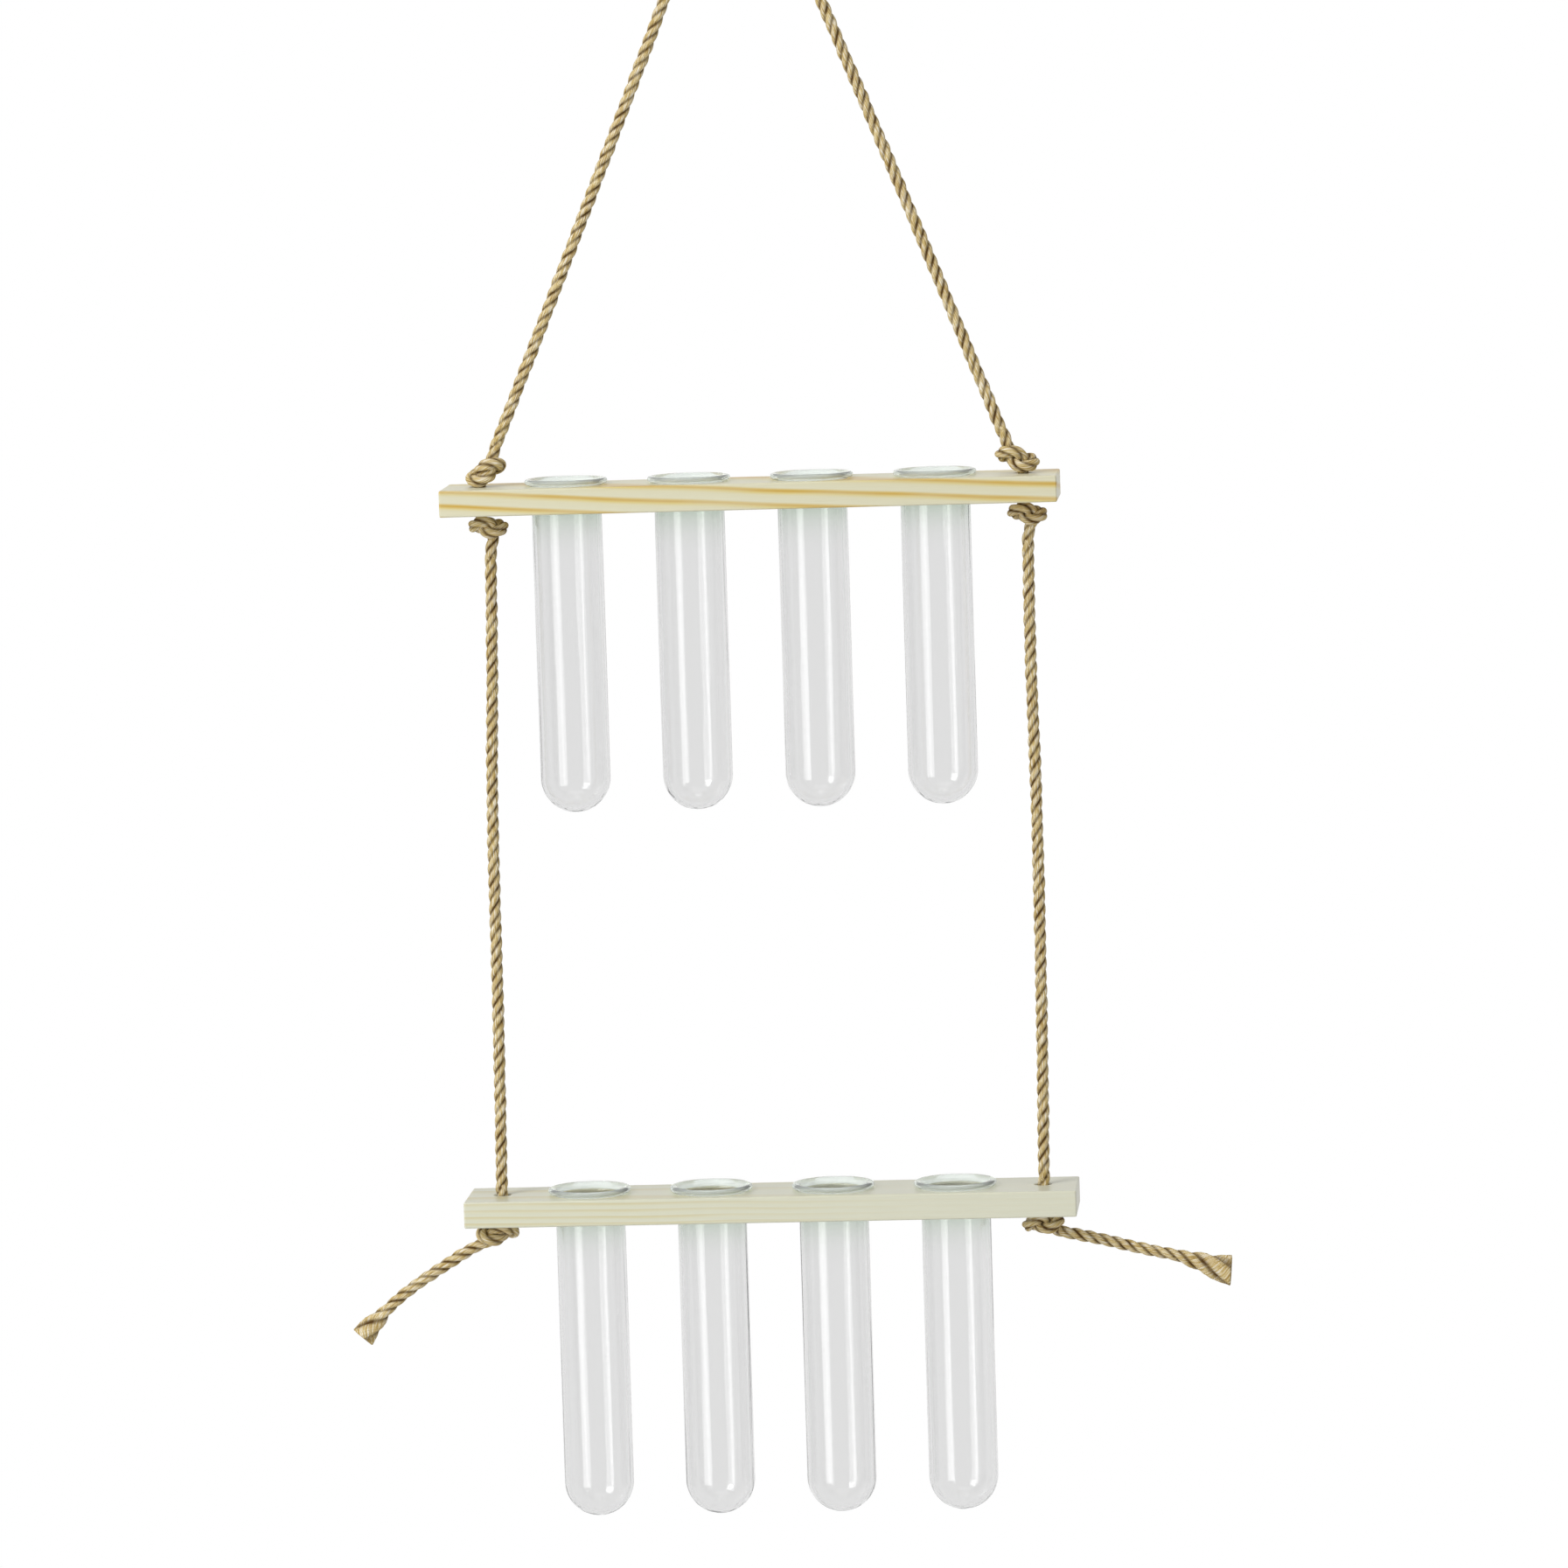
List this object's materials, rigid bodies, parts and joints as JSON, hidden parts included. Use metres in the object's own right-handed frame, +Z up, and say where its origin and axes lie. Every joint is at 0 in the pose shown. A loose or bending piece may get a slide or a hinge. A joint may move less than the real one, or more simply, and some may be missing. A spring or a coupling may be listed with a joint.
{
  "type": "test tube vase",
  "caption": "Two-tier hanging vase: slim pine boards on a knotted twisted cord, each holding a row of round-bottomed glass test tubes for single stems.",
  "frame": {"origin": "where the inside of the cord's bend bears on the hook that holds the vase up", "axes": "+Z up, X along the boards, -Y towards the viewer"},
  "size_m": [0.3193, 0.034, 0.6037],
  "materials": {
    "pine": "planed and unvarnished",
    "glass": "clear, fire-polished rim",
    "hemp_cord": "three-strand twisted natural cord, fuzzy"
  },
  "bodies": {
    "hanger": {"hook_bend": "hemp_cord", "left_hanger_cord": "hemp_cord", "right_hanger_cord": "hemp_cord"},
    "upper_tier": {"upper_board": "pine", "left_top_knot": "hemp_cord", "right_top_knot": "hemp_cord", "left_under_knot": "hemp_cord", "right_under_knot": "hemp_cord"},
    "lower_cords": {"left_middle_cord": "hemp_cord", "right_middle_cord": "hemp_cord"},
    "lower_tier": {"lower_board": "pine", "left_lower_knot": "hemp_cord", "right_lower_knot": "hemp_cord", "left_tail": "hemp_cord", "right_tail": "hemp_cord"},
    "upper_tube_1": {"upper_tube_1": "glass"},
    "upper_tube_2": {"upper_tube_2": "glass"},
    "upper_tube_3": {"upper_tube_3": "glass"},
    "upper_tube_4": {"upper_tube_4": "glass"},
    "lower_tube_1": {"lower_tube_1": "glass"},
    "lower_tube_2": {"lower_tube_2": "glass"},
    "lower_tube_3": {"lower_tube_3": "glass"},
    "lower_tube_4": {"lower_tube_4": "glass"}
  },
  "joints": [
    {"name": "upper_tier_tilt", "type": "hinge", "parent": "hanger", "child": "upper_tier", "pos_m": [0, 0, -0.2105], "axis": [1, 0, 0], "range_deg": [-20, 20]},
    {"name": "lower_cords_swing", "type": "hinge", "parent": "upper_tier", "child": "lower_cords", "pos_m": [0, 0, -0.25116], "axis": [1, 0, 0], "range_deg": [-25, 25]},
    {"name": "lower_tier_tilt", "type": "hinge", "parent": "lower_cords", "child": "lower_tier", "pos_m": [0, 0, -0.4794], "axis": [1, 0, 0], "range_deg": [-20, 20]},
    {"name": "upper_tube_1_lift", "type": "slide", "parent": "upper_tier", "child": "upper_tube_1", "axis": [0, 0, 1], "range_m": [0, 0.027]},
    {"name": "upper_tube_2_lift", "type": "slide", "parent": "upper_tier", "child": "upper_tube_2", "axis": [0, 0, 1], "range_m": [0, 0.12]},
    {"name": "upper_tube_3_lift", "type": "slide", "parent": "upper_tier", "child": "upper_tube_3", "axis": [0, 0, 1], "range_m": [0, 0.12]},
    {"name": "upper_tube_4_lift", "type": "slide", "parent": "upper_tier", "child": "upper_tube_4", "axis": [0, 0, 1], "range_m": [0, 0.027]},
    {"name": "lower_tube_1_lift", "type": "slide", "parent": "lower_tier", "child": "lower_tube_1", "axis": [0, 0, 1], "range_m": [0, 0.12]},
    {"name": "lower_tube_2_lift", "type": "slide", "parent": "lower_tier", "child": "lower_tube_2", "axis": [0, 0, 1], "range_m": [0, 0.12]},
    {"name": "lower_tube_3_lift", "type": "slide", "parent": "lower_tier", "child": "lower_tube_3", "axis": [0, 0, 1], "range_m": [0, 0.12]},
    {"name": "lower_tube_4_lift", "type": "slide", "parent": "lower_tier", "child": "lower_tube_4", "axis": [0, 0, 1], "range_m": [0, 0.12]}
  ]
}
